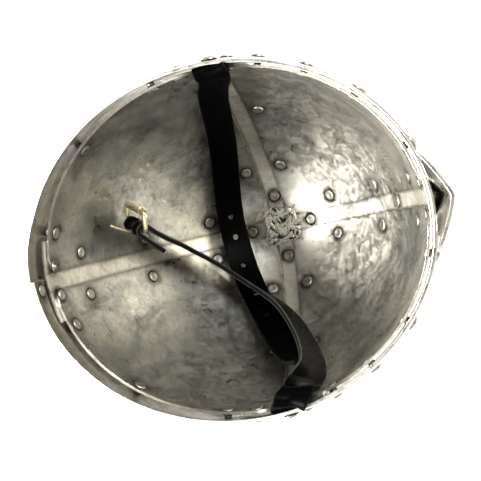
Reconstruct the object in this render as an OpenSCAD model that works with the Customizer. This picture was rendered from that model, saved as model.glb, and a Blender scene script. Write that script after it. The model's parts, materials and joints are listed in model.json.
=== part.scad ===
// Riveted four-plate helmet with a nasal bar, standing on its crown with the head opening up.
// +Z points out of the head opening, -Y to the nasal (the wearer's front), +X to the wearer's right.
// The origin is the middle of the four apex rivet heads that the helmet stands on.

/* [Shell] */
// Length of the head opening over the brow band, front to back
opening_length = 232; // [215:1:250]
// Width of the head opening over the brow band
opening_width = 198; // [180:1:215]
// How far the sides of the dome bulge past the rim
side_bulge = 6; // [0:0.5:8]
// Height from the apex rivet heads to the rim of the brow band
rim_height = 168; // [150:1:185]
// Thickness of the dome plates
plate_t = 1.5; // [1.2:0.1:2]
// Thickness of the spangens, the straps that join the plates
spangen_t = 1.6; // [1.2:0.1:2]
// Thickness of the brow band
band_t = 2; // [1.5:0.1:2.5]
// Height of the brow band
band_h = 38; // [32:1:45]
// Free air between two sheets that lie on each other
sheet_gap = 0.2; // [0.15:0.05:0.3]

/* [Seams] */
// Half of the clear width between two plates over a spangen
seam_half = 5.5; // [4:0.5:8]
// Corner radius of a plate at the apex
apex_corner_r = 20; // [12:1:24]
// Corner radius of a plate at the brow
brow_corner_r = 9; // [5:1:14]
// Half width of a spangen
spangen_half = 20; // [18:1:22]
// Extra half width of a spangen at its foot
spangen_flare = 5; // [0:1:7]
// Distance from the rim to the lower edge of the plates
plate_drop = 16; // [12:1:20]
// How far the side spangens lean to the front at the rim
side_sweep = 9; // [0:1:12]

/* [Nasal] */
// Width of the nasal
nasal_w = 48; // [36:1:52]
// Length of the nasal past the rim
nasal_l = 62; // [50:1:75]
// Height of the nasal's ridge at its free end
nasal_ridge = 9; // [6:1:13]
// How far the free end stands forward of the rim
nasal_forward = 3; // [0:1:14]

/* [Rivets] */
// Diameter of an outside rivet head
head_d = 8.6; // [7:0.2:10]
// Height of an outside rivet head
head_h = 2.4; // [1.8:0.2:2.8]
// Diameter of a set inside head
set_d = 7; // [6:0.2:8]
// Height of a set inside head
set_h = 0.9; // [0.6:0.1:1.2]
// Diameter of a rivet shank
shank_d = 4.4; // [3.6:0.2:5]

/* [Straps] */
// Width of both straps
strap_w = 18; // [16:1:20]
// Thickness of the leather
strap_t = 3; // [2.6:0.1:3.2]
// Diameter of the punched holes
hole_d = 4; // [3:0.5:5]

/* [Buckle] */
// Length of the buckle from bar to bar
buckle_l = 13; // [12:1:20]
// Radius of the buckle's wire
wire_r = 1.6; // [1.3:0.1:1.8]

/* [Hidden] */

// Offsets are measured outwards from the master surface, where the plates and spangens meet.
band_in = spangen_t + 2 * sheet_gap;
band_out = band_in + band_t;
cap_in = spangen_t + sheet_gap;
cap_out = cap_in + 1.6;
plate_out = -sheet_gap;
plate_in = plate_out - plate_t;

// Master surface: an ellipsoid about the middle of the rim plane, with its crown pressed nearly flat
// and its sides drawn in towards the rim.
bulge_from = rim_height - 48;
half_x = opening_width / 2 - band_out + side_bulge;
half_y = opening_length / 2 - band_out;
crown_flat = 2;
crown_soft = 1.5;
crown_lift = 0.4;
crown_rise = (sqrt(crown_flat * crown_flat + crown_soft * crown_soft) - crown_flat) / 2;
apex_z = crown_lift + cap_out - crown_rise - crown_flat;
depth = rim_height - apex_z;

function unit(v) = v / norm(v);
function lerp(a, b, t) = a + (b - a) * t;
function clamp01(t) = min(1, max(0, t));
function smooth(t) = let (c = clamp01(t)) c * c * (3 - 2 * c);

// The point over a plan position after the crown is pressed and the sides drawn in, and its outward normal.
function crown_d(z) = z - apex_z - crown_flat;
function crown_root(z) = sqrt(crown_d(z) * crown_d(z) + crown_soft * crown_soft);
function drawn_in(z) = 1 - side_bulge / half_x * pow(clamp01((z - bulge_from) / (rim_height - bulge_from)), 2);
function pressed(p) = [p.x * drawn_in(p.z), p.y, apex_z + crown_flat + (crown_d(p.z) + crown_root(p.z)) / 2];
function press_slope(p) = (1 + crown_d(p.z) / crown_root(p.z)) / 2;
function normal_at(p) = unit([
    press_slope(p) * p.x / (half_x * half_x),
    press_slope(p) * p.y / (half_y * half_y),
    (p.z - rim_height) / (depth * depth)
]);
// A point of the plain ellipsoid, moved to the pressed surface and off it by a distance.
function lay(p, off) = pressed(p) + off * normal_at(p);

// Ellipsoid points by plan angle and by height angle (0 at the rim, 90 at the apex).
function ring_point(around, up) = [
    half_x * cos(up) * cos(around),
    half_y * cos(up) * sin(around),
    rim_height - depth * sin(up)
];
function angle_at(z) = asin((rim_height - z) / depth);

// Ellipsoid points on a strip along the front-back seam: x is fixed, sign is -1 for the front.
function long_point(x, up, sign) = let (k = sqrt(1 - pow(x / half_x, 2)))
    [x, sign * half_y * k * cos(up), rim_height - depth * k * sin(up)];
// The same along the side seams, whose middle line leans to the front near the rim.
function side_middle(up) = 1 - side_sweep * pow(cos(up), 4);
function side_point(y, up, sign) = let (k = sqrt(1 - pow(y / half_y, 2)))
    [sign * half_x * k * cos(up), y, rim_height - depth * k * sin(up)];

// A sheet between two grids of points that have the same rows and columns.
module sheet(outer, inner) {
    rows = len(outer);
    cols = len(outer[0]);
    count = rows * cols;
    points = [for (r = outer, p = r) p, for (r = inner, p = r) p];
    function at(i, j) = i * cols + j;
    polyhedron(points = points, faces = [
        for (i = [0:rows - 2], j = [0:cols - 2])
            each [[at(i, j), at(i, j + 1), at(i + 1, j + 1)], [at(i, j), at(i + 1, j + 1), at(i + 1, j)]],
        for (i = [0:rows - 2], j = [0:cols - 2])
            each [[count + at(i, j), count + at(i + 1, j + 1), count + at(i, j + 1)],
                  [count + at(i, j), count + at(i + 1, j), count + at(i + 1, j + 1)]],
        for (i = [0:rows - 2])
            each [[at(i, 0), at(i + 1, 0), count + at(i + 1, 0)], [at(i, 0), count + at(i + 1, 0), count + at(i, 0)]],
        for (i = [0:rows - 2])
            each [[at(i, cols - 1), count + at(i + 1, cols - 1), at(i + 1, cols - 1)],
                  [at(i, cols - 1), count + at(i, cols - 1), count + at(i + 1, cols - 1)]],
        for (j = [0:cols - 2])
            each [[at(0, j), count + at(0, j + 1), at(0, j + 1)], [at(0, j), count + at(0, j), count + at(0, j + 1)]],
        for (j = [0:cols - 2])
            each [[at(rows - 1, j), at(rows - 1, j + 1), count + at(rows - 1, j + 1)],
                  [at(rows - 1, j), count + at(rows - 1, j + 1), count + at(rows - 1, j)]]
    ]);
}

// Dome plates. sx and sy are the signs of the quadrant.
plate_rows = 18;
plate_cols = 14;
plate_foot = angle_at(rim_height - plate_drop);
plate_top = 80.2;

// Distance from a seam's middle line to the plate edge, growing round both corners.
function corner_in(along, r) = along >= r ? 0 : r - sqrt(r * r - pow(r - max(along, 0), 2));
function edge_gap(from_apex, up) = seam_half
    + corner_in(from_apex - seam_half, apex_corner_r)
    + corner_in((up - plate_foot) * depth * PI / 180, brow_corner_r);

// Plan angles where the edges over the long seam and over a side seam cross the ring at one height.
function long_edge(up, turn, n = 8) = n == 0 ? turn :
    long_edge(up, acos(clamp01(edge_gap(half_y * cos(up) * sin(turn), up) / (half_x * cos(up)))), n - 1);
function side_shift(up, sy) = sy * side_middle(up);
function side_edge(up, sy, turn, n = 8) = n == 0 ? turn :
    side_edge(up, sy, asin(max(-0.9, min(0.98,
        (edge_gap(half_x * cos(up) * cos(turn), up) + side_shift(up, sy)) / (half_y * cos(up))))), n - 1);

module plate(sx, sy) {
    grid = [for (i = [0:plate_rows])
        let (up = lerp(plate_foot, plate_top, i / plate_rows),
             a = side_edge(up, sy, 10),
             b = long_edge(up, 80),
             mid = (a + b) / 2,
             from = min(a, mid - 0.6),
             to = max(b, mid + 0.6))
        [for (j = [0:plate_cols])
            let (turn = lerp(from, to, j / plate_cols), p = ring_point(turn, up))
            [sx * p.x, sy * p.y, p.z]]];
    outer = [for (r = grid) [for (p = r) lay(p, plate_out)]];
    inner = [for (r = grid) [for (p = r) lay(p, plate_in)]];
    if (sx * sy > 0) sheet(inner, outer);
    else sheet(outer, inner);
}

module plate_front_right() { color([0.55, 0.55, 0.53]) plate(1, -1); }
module plate_front_left() { color([0.55, 0.55, 0.53]) plate(-1, -1); }
module plate_back_right() { color([0.55, 0.55, 0.53]) plate(1, 1); }
module plate_back_left() { color([0.55, 0.55, 0.53]) plate(-1, 1); }

// Spangens: four straps outside the plates, mitred where they meet at the apex.
spangen_foot = angle_at(rim_height - plate_drop + 3);
spangen_rows = 24;
spangen_cols = 8;
mitre_gap = 0.3;
function spangen_width(t) = spangen_half + spangen_flare * pow(clamp01(1 - t * 3.2), 2);

module spangen_long(sign) {
    grid = [for (i = [0:spangen_rows])
        let (t = i / spangen_rows)
        [for (j = [0:spangen_cols])
            let (x = spangen_width(t) * lerp(-1, 1, j / spangen_cols),
                 k = sqrt(1 - pow(x / half_x, 2)),
                 end = acos((abs(x) + mitre_gap) / (half_y * k)))
            long_point(x, lerp(spangen_foot, end, t), sign)]];
    outer = [for (r = grid) [for (p = r) lay(p, spangen_t)]];
    inner = [for (r = grid) [for (p = r) lay(p, 0)]];
    if (sign > 0) sheet(outer, inner);
    else sheet(inner, outer);
}

module spangen_side(sign) {
    grid = [for (i = [0:spangen_rows])
        let (t = i / spangen_rows)
        [for (j = [0:spangen_cols])
            let (across = spangen_width(t) * lerp(-1, 1, j / spangen_cols),
                 end_y = spangen_half * lerp(-1, 1, j / spangen_cols),
                 end = acos((abs(end_y) + mitre_gap) / (half_x * sqrt(1 - pow(end_y / half_y, 2)))),
                 up = lerp(spangen_foot, end, t))
            side_point(across + side_middle(up) * (1 - pow(t, 8)), up, sign)]];
    outer = [for (r = grid) [for (p = r) lay(p, spangen_t)]];
    inner = [for (r = grid) [for (p = r) lay(p, 0)]];
    if (sign > 0) sheet(inner, outer);
    else sheet(outer, inner);
}

module spangen_front() { color([0.62, 0.61, 0.58]) spangen_long(-1); }
module spangen_back() { color([0.62, 0.61, 0.58]) spangen_long(1); }
module spangen_right() { color([0.62, 0.61, 0.58]) spangen_side(1); }
module spangen_left() { color([0.62, 0.61, 0.58]) spangen_side(-1); }

// Brow band: one strip once round, its ends lapped and riveted at the back.
lap_start = 88.4;
lap_end = 455.5;
lap_ramp = 422;
lap_full = 444;
lap_lift = band_t + sheet_gap;
band_steps = 120;
band_rows = 4;
band_top = angle_at(rim_height - band_h);
function band_shift(around) = lap_lift * smooth((around - lap_ramp) / (lap_full - lap_ramp));

module brow_band() {
    grid = [for (i = [0:band_rows])
        let (up = lerp(0, band_top, i / band_rows))
        [for (j = [0:band_steps]) [lerp(lap_start, lap_end, j / band_steps), up]]];
    outer = [for (r = grid) [for (a = r) lay(ring_point(a[0], a[1]), band_out + band_shift(a[0]))]];
    inner = [for (r = grid) [for (a = r) lay(ring_point(a[0], a[1]), band_in + band_shift(a[0]))]];
    color([0.66, 0.63, 0.56]) sheet(inner, outer);
}

// Nasal: a creased bar that lies flat on the brow band and opens into a full ridge past the rim.
nasal_t = 1.6;
nasal_half = nasal_w / 2;
nasal_foot = rim_height - band_h + 3;
nasal_tip = rim_height + nasal_l;
nasal_rows = 22;
nasal_cols = 16;
nasal_lip = 2.5;
function ridge_half(z) = z < rim_height
    ? lerp(3, 9, (z - nasal_foot) / (rim_height - nasal_foot))
    : lerp(9, nasal_half, smooth((z - rim_height) / 26));
function ridge_height(z) = z < rim_height
    ? lerp(0.4, 6.5, pow((z - nasal_foot) / (rim_height - nasal_foot), 1.3))
    : lerp(6.5, nasal_ridge, smooth((z - rim_height) / 26));
function nasal_lean(z) = nasal_forward * pow(clamp01((z - rim_height) / nasal_l), 1.1);
function band_front(x, z) = lay(long_point(x, angle_at(min(z, rim_height)), -1), band_out + sheet_gap).y;
function nasal_width(z) = nasal_half * (1 - 0.235 * smooth((nasal_tip - z) / nasal_l))
    - corner_in(nasal_tip - z, nasal_lip) - corner_in(z - nasal_foot, nasal_lip);
function nasal_face(x, z) = [x, band_front(x, z) - nasal_lean(z)
    - ridge_height(z) * clamp01(1 - abs(x) / ridge_half(z)), z];

module nasal() {
    heights = [nasal_foot, nasal_foot + 0.7, nasal_foot + nasal_lip,
        for (i = [1:nasal_rows - 1]) lerp(nasal_foot + nasal_lip, nasal_tip - nasal_lip, i / nasal_rows),
        nasal_tip - nasal_lip, nasal_tip - 0.7, nasal_tip];
    inner = [for (z = heights) [for (j = [0:nasal_cols])
        nasal_face(nasal_width(z) * lerp(-1, 1, j / nasal_cols), z)]];
    outer = [for (r = inner) [for (p = r)
        p - [0, nasal_t * lerp(1, 1.12, clamp01((p.z - rim_height) / 20)), 0]]];
    color([0.6, 0.6, 0.57]) sheet(outer, inner);
}

// Apex cap: a disc outside the spangens.
cap_r = 29;
cap_rings = 8;
cap_steps = 40;
module disc_sheet(r_of, out_of, in_of, rings, steps) {
    function spot(i, a) = let (r = r_of(a) * i / rings, x = r * cos(a), y = r * sin(a))
        [x, y, rim_height - depth * sqrt(1 - pow(x / half_x, 2) - pow(y / half_y, 2))];
    function loop(i, off_of) = [for (j = [0:steps - 1])
        let (a = 360 * j / steps, p = spot(i, a)) lay(p, off_of(p))];
    outer = [lay(spot(0, 0), out_of(spot(0, 0))), for (i = [1:rings]) each loop(i, out_of)];
    inner = [lay(spot(0, 0), in_of(spot(0, 0))), for (i = [1:rings]) each loop(i, in_of)];
    count = len(outer);
    function at(i, j) = i == 0 ? 0 : 1 + (i - 1) * steps + (j % steps);
    polyhedron(points = concat(outer, inner), faces = [
        for (j = [0:steps - 1]) each [[0, at(1, j), at(1, j + 1)], [count, count + at(1, j + 1), count + at(1, j)]],
        for (i = [1:rings - 1], j = [0:steps - 1])
            each [[at(i, j), at(i + 1, j), at(i + 1, j + 1)], [at(i, j), at(i + 1, j + 1), at(i, j + 1)]],
        for (i = [1:rings - 1], j = [0:steps - 1])
            each [[count + at(i, j), count + at(i + 1, j + 1), count + at(i + 1, j)],
                  [count + at(i, j), count + at(i, j + 1), count + at(i + 1, j + 1)]],
        for (j = [0:steps - 1])
            each [[at(rings, j), count + at(rings, j), count + at(rings, j + 1)],
                  [at(rings, j), count + at(rings, j + 1), at(rings, j + 1)]]
    ]);
}

module apex_cap() {
    color([0.6, 0.6, 0.58])
        disc_sheet(function(a) cap_r, function(p) cap_out, function(p) cap_in, cap_rings, cap_steps);
}

// Apex weld: the lumpy pad that joins the mitred spangen ends inside the crown.
weld_half = 13;
weld_t = 1.5;
weld_lump = 0.35;
function weld_r(a) = weld_half * (1 + 0.05 * sin(3 * a + 40) + 0.04 * sin(7 * a))
    / pow(pow(abs(cos(a)), 4) + pow(abs(sin(a)), 4), 0.25) * 0.97;
function weld_in(p) = -weld_t - weld_lump * (sin(p.x * 83 + 20) * cos(p.y * 97) + 0.6 * sin(p.x * 41 - p.y * 59));
module apex_weld() {
    color([0.5, 0.48, 0.44])
        disc_sheet(function(a) weld_r(a), function(p) -0.5, function(p) weld_in(p), 9, 36);
}

// Rivets. Each has a domed head outside, a shank through the sheets and a flat set head inside.
dome_steps = 6;
function dome_profile(r, h) = let (ball = (r * r + h * h) / (2 * h), half = asin(r / ball))
    [for (i = [0:dome_steps]) let (a = half * (1 - i / dome_steps)) [ball * sin(a), h - ball + ball * cos(a)]];

module aim(dir) {
    rotate([0, acos(dir.z), atan2(dir.y, dir.x)]) children();
}
// p is on the plain ellipsoid; outer and inner are the offsets of the faces that the heads bear on.
module rivet(p, outer, inner, d = head_d, h = head_h) {
    n = normal_at(p);
    translate(pressed(p) + n * outer) aim(n) rotate_extrude($fn = 32)
        polygon([
            each dome_profile(d / 2, h),
            [0, inner - outer - set_h],
            [set_d / 2 - 0.5, inner - outer - set_h],
            [set_d / 2, inner - outer - set_h + 0.4],
            [set_d / 2, inner - outer],
            [shank_d / 2, inner - outer],
            [shank_d / 2, 0]
        ]);
}

// Rows of rivets along the plate edges over the spangens.
front_row_up = [69, 48, 24];
back_row_up = [65, 42, 18.5];
side_row_up = [65.5, 39];
front_middle_up = 39;
long_row_x = 13.2;
side_row_y = 12.3;
module crown_rivets() {
    color([0.5, 0.5, 0.48]) {
        for (sx = [-1, 1], sy = [-1, 1], up = sy < 0 ? front_row_up : back_row_up)
            rivet(long_point(sx * long_row_x, up, sy), spangen_t, plate_in);
        for (sx = [-1, 1], sy = [-1, 1], up = side_row_up)
            rivet(side_point(side_middle(up) + sy * side_row_y, up, sx), spangen_t, plate_in);
        rivet(long_point(0, front_middle_up, -1), spangen_t, 0);
    }
}

// The row along the brow: plan angles away from the front or the back middle line.
brow_row_z = rim_height - 23.5;
brow_front = [16, 37, 54, 69, 79];
brow_back = [15, 44, 75, 85];
// Plan angle of a ring point from its bearing.
function bearing(a) = atan2(sin(a) / half_y, cos(a) / half_x);
module brow_rivet(sx, sy, from_middle) {
    turn = bearing(90 - from_middle);
    around = sx > 0 ? (sy > 0 ? turn + 360 : 360 - turn) : (sy > 0 ? 180 - turn : 180 + turn);
    rivet(ring_point(around, angle_at(brow_row_z)), band_out + band_shift(around), plate_in);
}
module brow_rivets() {
    color([0.5, 0.5, 0.48]) for (sx = [-1, 1]) {
        for (a = brow_front) brow_rivet(sx, -1, a);
        for (a = brow_back) brow_rivet(sx, 1, a);
    }
}

// Rivets at the foot of each spangen.
foot_row_z = rim_height - 21.5;
foot_row_x = 8.8;
module nasal_rivets() {
    color([0.5, 0.5, 0.48]) for (sx = [-1, 1])
        rivet(long_point(sx * foot_row_x, angle_at(foot_row_z), -1), band_out + sheet_gap + nasal_t, plate_in);
}
module back_spangen_rivets() {
    color([0.5, 0.5, 0.48]) for (sx = [-1, 1])
        rivet(long_point(sx * foot_row_x, angle_at(foot_row_z), 1), band_out + (sx > 0 ? lap_lift : 0), plate_in);
}
side_foot_z = rim_height - 26;
module side_spangen_rivets() {
    color([0.5, 0.5, 0.48]) for (sx = [-1, 1])
        rivet(side_point(side_middle(angle_at(side_foot_z)), angle_at(side_foot_z), sx), band_out, 0);
}

// Four apex rivets join the cap to the spangens; their heads are dressed flat to stand on.
apex_row_r = 21;
module apex_rivets() {
    color([0.5, 0.5, 0.48]) difference() {
        union() for (a = [0:90:270]) {
            x = apex_row_r * cos(a);
            y = apex_row_r * sin(a);
            z = rim_height - depth * sqrt(1 - pow(x / half_x, 2) - pow(y / half_y, 2));
            rivet([x, y, z], cap_out, 0, head_d, 3);
        }
        translate([-40, -40, -20]) cube([80, 80, 20]);
    }
    // A flush plug in the middle of the cap.
    color([0.5, 0.5, 0.48]) {
        cylinder(d = 8, h = crown_lift, $fn = 48);
        cylinder(d = shank_d, h = crown_lift + cap_out - cap_in, $fn = 48);
    }
}

lap_rivet_x = -3.5;
module lap_rivet() {
    color([0.5, 0.5, 0.48])
        rivet(long_point(lap_rivet_x, angle_at(rim_height - 7), 1), band_out + lap_lift, band_in, 7, 2);
}

// Straps. Each is riveted inside the rim at the temple and folds over into the bowl.
strap_y = -13;
anchor_top = rim_height - 0.5;
anchor_foot = rim_height - 18.5;
anchor_gap = 0.3;
// The leather steps over the lower edges of the plates and the spangen.
function anchor_out(z) = lerp(plate_in - anchor_gap, band_in - anchor_gap,
    smooth((z - (rim_height - plate_drop + 3.6)) / 6));
module anchor(sign) {
    heights = [for (i = [0:12]) lerp(anchor_foot, anchor_top, i / 12)];
    spots = [for (z = heights) [for (j = [0:4])
        side_point(strap_y + strap_w * (j / 4 - 0.5), angle_at(z), sign)]];
    outer = [for (r = spots) [for (p = r) lay(p, anchor_out(p.z))]];
    inner = [for (r = spots) [for (p = r) lay(p, anchor_out(p.z) - strap_t)]];
    if (sign > 0) sheet(outer, inner);
    else sheet(inner, outer);
}
module strap_rivet(sign) {
    rivet(side_point(strap_y, angle_at(rim_height - 9), sign), band_out,
        band_in - anchor_gap - strap_t, 9, 2.6);
}
module billet_anchor() { color([0.08, 0.08, 0.08]) anchor(1); }
module billet_rivet() { color([0.5, 0.5, 0.48]) strap_rivet(1); }
module buckle_anchor() { color([0.08, 0.08, 0.08]) anchor(-1); }
module buckle_rivet() { color([0.5, 0.5, 0.48]) strap_rivet(-1); }

// Smooth curve through hand-chosen points.
function catmull(a, b, c, d, t) = 0.5 * (2 * b + (c - a) * t + (2 * a - 5 * b + 4 * c - d) * t * t
    + (3 * b - a - 3 * c + d) * t * t * t);
function curve(pts, steps) = let (n = len(pts)) [
    for (i = [0:n - 2], s = [0:steps - 1])
        catmull(pts[max(i - 1, 0)], pts[i], pts[i + 1], pts[min(i + 2, n - 1)], s / steps),
    pts[n - 1]
];
function tangents(pts) = let (n = len(pts))
    [for (i = [0:n - 1]) unit(pts[min(i + 1, n - 1)] - pts[max(i - 1, 0)])];
// Width directions: the given hints, squared to the path.
function squared(hints, dirs) = [for (i = [0:len(dirs) - 1]) unit(hints[i] - (hints[i] * dirs[i]) * dirs[i])];

// A flat strap along a path, with its width directions and half widths.
module strap(path, across, halves, t) {
    dirs = tangents(path);
    left = squared(across, dirs);
    up = [for (i = [0:len(path) - 1]) cross(dirs[i], left[i])];
    top = [for (i = [0:len(path) - 1])
        [for (s = [-1, 0, 1]) path[i] + left[i] * halves[i] * s + up[i] * t / 2]];
    bottom = [for (i = [0:len(path) - 1])
        [for (s = [-1, 0, 1]) path[i] + left[i] * halves[i] * s - up[i] * t / 2]];
    sheet(top, bottom);
}

// Billet: the punched strap. Its path falls from the rim, crosses the crown and climbs the far wall.
billet_path = [
    [89.5, -16, 167], [87.5, -11, 150], [85.5, -3.5, 130], [76.5, 6.5, 88], [51.5, 18.5, 43],
    [26, 29, 25.5], [1, 30, 21.5], [-23, 27.5, 27.5], [-42, 20, 41], [-56, 11, 59],
    [-69.5, -0.5, 86], [-78.5, -12, 117]
];
billet_steps = 5;
billet_holes = [27.4, 30.3, 34.5, 39.7, 44.8];
billet_tip = 6;
module billet_strap() {
    path = curve(billet_path, billet_steps);
    count = len(path);
    dirs = tangents(path);
    across = [for (i = [0:count - 1]) cross(dirs[i],
        unit([path[i].x / (half_x * half_x), path[i].y / (half_y * half_y),
              (path[i].z - rim_height) / (depth * depth)]))];
    halves = [for (i = [0:count - 1]) let (left = count - 1 - i)
        left >= billet_tip ? strap_w / 2
            : strap_w / 2 * sqrt(1 - 0.985 * pow(1 - left / billet_tip, 2))];
    color([0.07, 0.07, 0.07]) difference() {
        strap(path, across, halves, strap_t);
        for (h = billet_holes) {
            i = floor(h);
            spot = lerp(path[i], path[i + 1], h - i);
            translate(spot) aim(cross(dirs[i], across[i]))
                cylinder(d = hole_d, h = 12, center = true, $fn = 32);
        }
    }
}

// Buckle strap: it stands on edge in the bowl and runs over the billet to the buckle.
edge_up = [0.02, -0.27, 0.96];
buckle_path = [
    [-88, -20.5, 171], [-86.5, -22, 165], [-84, -24.5, 153], [-81, -27, 137], [-75, -21.5, 107],
    [-66, -13, 81], [-56.5, -5.5, 66], [-46.5, 3, 58], [-36, 17, 50], [-26, 29, 44],
    [-14, 41.5, 42], [-3.5, 53, 47], [7, 61, 61], [14.2, 65.5, 78.6], [23.1, 71, 88.8]
];
buckle_up = [
    [0, 1, 0], [0.1, 0.9, 0.35], [0.28, 0.6, 0.75], [0.25, 0.3, 0.92], [0.2, 0.17, 0.96],
    [0.2, 0.17, 0.96], [0.2, 0.17, 0.96], [0.15, 0, 0.96], edge_up, edge_up,
    edge_up, edge_up, [-0.12, -0.42, 0.88], [-0.37, -0.65, 0.67], [-0.37, -0.65, 0.67]
];
buckle_steps = 5;
module buckle_strap() {
    path = curve(buckle_path, buckle_steps);
    across = curve(buckle_up, buckle_steps);
    halves = [for (i = [0:len(path) - 1]) strap_w / 2 * lerp(0.45, 1, clamp01(i / 10))];
    color([0.07, 0.07, 0.07]) difference() {
        strap(path, across, halves, strap_t);
        prong_slot();
    }
}

// Buckle: its own axes are the strap bar (x), from the bar to the roller (y) and the prong's side (z).
// It hangs turned away from the line of the strap, with the prong swung open.
bar_at = [20.9, 73.4, 90];
bar_x = unit([-0.371, -0.646, 0.667]);
bar_y = unit([0.929, -0.248, 0.276] - ([0.929, -0.248, 0.276] * bar_x) * bar_x);
bar_z = cross(bar_x, bar_y);
frame_half = 12;
frame_corner = 3;
roller_r = 2.7;
loop_in = wire_r + 0.4;
loop_t = 3;
slot_w = 4.6;
layer_z = loop_in + loop_t / 2;
module at_bar() {
    multmatrix([
        [bar_x.x, bar_y.x, bar_z.x, bar_at.x],
        [bar_x.y, bar_y.y, bar_z.y, bar_at.y],
        [bar_x.z, bar_y.z, bar_z.z, bar_at.z],
        [0, 0, 0, 1]
    ]) children();
}
// The strap's own axes at the bar: y runs out along the strap and z is on the side of the main layer.
strap_turn = 48;
module at_loop() { at_bar() rotate([strap_turn, 0, 0]) rotate([0, 180, 0]) children(); }
module rod(a, b, r) {
    translate(a) aim(unit(b - a)) cylinder(r = r, h = norm(b - a), $fn = 32);
}
module prong_slot() { at_loop() translate([-slot_w / 2, -8, -8]) cube([slot_w, 20, 16]); }
// The strap's folded end: round the bar on the roller's side, then back under the strap.
return_l = 22;
module buckle_loop() {
    color([0.07, 0.07, 0.07]) difference() {
        at_loop() union() {
            rotate([0, 90, 0]) rotate([0, 0, 90]) translate([0, 0, -strap_w / 2])
                linear_extrude(strap_w) difference() {
                    circle(r = loop_in + loop_t, $fn = 48);
                    circle(r = loop_in, $fn = 48);
                    translate([-10, -10]) square([10, 20]);
                }
            translate([-strap_w / 2, -return_l, -loop_in - loop_t]) cube([strap_w, return_l, loop_t]);
        }
        prong_slot();
    }
}
// One corner of the frame: a quarter bend from the end of a bar to the end of a side.
module frame_bend(sx, far) {
    translate([sx * (frame_half - frame_corner), far ? buckle_l - frame_corner : frame_corner, 0])
        mirror([sx > 0 ? 0 : 1, 0, 0]) mirror([0, far ? 0 : 1, 0])
            rotate_extrude(angle = 90, $fn = 48) translate([frame_corner, 0]) circle(r = wire_r, $fn = 24);
}
module buckle_frame() {
    color([0.62, 0.56, 0.45]) at_bar() {
        for (far = [false, true]) {
            y = far ? buckle_l : 0;
            rod([frame_corner - frame_half, y, 0], [frame_half - frame_corner, y, 0], wire_r);
            for (sx = [-1, 1]) frame_bend(sx, far);
        }
        for (sx = [-1, 1])
            rod([sx * frame_half, frame_corner, 0], [sx * frame_half, buckle_l - frame_corner, 0], wire_r);
    }
}
prong_r = 1.2;
prong_eye = 3;
prong_past = 5.5;
prong_open = 61;
// Seen from the bar, the closed prong points a little above the frame, to clear the roller.
module buckle_prong() {
    color([0.55, 0.5, 0.42]) at_bar() rotate([prong_open, 0, 0]) {
        difference() {
            rotate([0, 90, 0]) cylinder(r = prong_eye, h = 3, center = true, $fn = 32);
            rotate([0, 90, 0]) cylinder(r = wire_r + 0.08, h = 4, center = true, $fn = 32);
        }
        rod([0, 1.6, 2], [0, buckle_l + prong_past, roller_r + prong_r + 0.7], prong_r);
    }
}
module buckle_roller() {
    color([0.6, 0.55, 0.46]) at_bar() translate([0, buckle_l, 0]) rotate([0, 90, 0]) difference() {
        cylinder(r = roller_r, h = 2 * (frame_half - frame_corner) - 0.6, center = true, $fn = 32);
        cylinder(r = wire_r + 0.08, h = 40, center = true, $fn = 32);
    }
}

plate_front_right();
plate_front_left();
plate_back_right();
plate_back_left();
spangen_front();
spangen_back();
spangen_right();
spangen_left();
brow_band();
nasal();
apex_cap();
apex_weld();
crown_rivets();
brow_rivets();
nasal_rivets();
back_spangen_rivets();
side_spangen_rivets();
apex_rivets();
lap_rivet();
billet_anchor();
billet_rivet();
billet_strap();
buckle_anchor();
buckle_rivet();
buckle_strap();
buckle_loop();
buckle_frame();
buckle_prong();
buckle_roller();
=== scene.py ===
"""Looks of the riveted helmet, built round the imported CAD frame.

Lengths in this file are in millimetres, like the CAD source, and become metres only when a mesh is made.
"""

import json
import math

import bmesh
import bpy
import numpy as np
from mathutils import Matrix, Vector, noise


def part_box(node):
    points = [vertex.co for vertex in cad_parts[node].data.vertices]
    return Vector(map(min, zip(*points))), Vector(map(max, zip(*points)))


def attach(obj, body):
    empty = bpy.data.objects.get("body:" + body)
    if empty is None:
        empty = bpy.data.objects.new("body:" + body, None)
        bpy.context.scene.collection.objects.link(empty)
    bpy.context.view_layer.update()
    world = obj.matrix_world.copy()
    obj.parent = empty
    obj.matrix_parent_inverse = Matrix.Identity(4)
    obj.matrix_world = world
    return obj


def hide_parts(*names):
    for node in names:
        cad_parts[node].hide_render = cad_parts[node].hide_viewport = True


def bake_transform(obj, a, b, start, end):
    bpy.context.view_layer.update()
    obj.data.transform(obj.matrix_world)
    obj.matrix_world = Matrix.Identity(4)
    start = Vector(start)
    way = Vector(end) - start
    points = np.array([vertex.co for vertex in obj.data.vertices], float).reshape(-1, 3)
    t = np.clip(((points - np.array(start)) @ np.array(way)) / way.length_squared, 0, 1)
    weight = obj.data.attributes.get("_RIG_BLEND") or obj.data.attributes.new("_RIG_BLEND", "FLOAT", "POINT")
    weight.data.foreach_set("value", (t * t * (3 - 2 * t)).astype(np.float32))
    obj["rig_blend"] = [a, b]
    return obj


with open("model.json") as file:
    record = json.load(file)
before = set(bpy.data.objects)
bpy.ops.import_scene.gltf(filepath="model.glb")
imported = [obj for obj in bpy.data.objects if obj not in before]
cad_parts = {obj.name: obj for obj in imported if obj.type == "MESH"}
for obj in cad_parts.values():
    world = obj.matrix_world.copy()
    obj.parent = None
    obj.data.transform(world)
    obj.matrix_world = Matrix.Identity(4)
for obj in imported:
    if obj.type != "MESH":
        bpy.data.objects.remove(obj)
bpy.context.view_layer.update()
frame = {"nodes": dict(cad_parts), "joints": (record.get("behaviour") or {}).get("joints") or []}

MM = 0.001


def node_box(name):
    low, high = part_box(name)
    return np.array(low) / MM, np.array(high) / MM


# ---------------------------------------------------------------- sizes that the CAD source also holds

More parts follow.
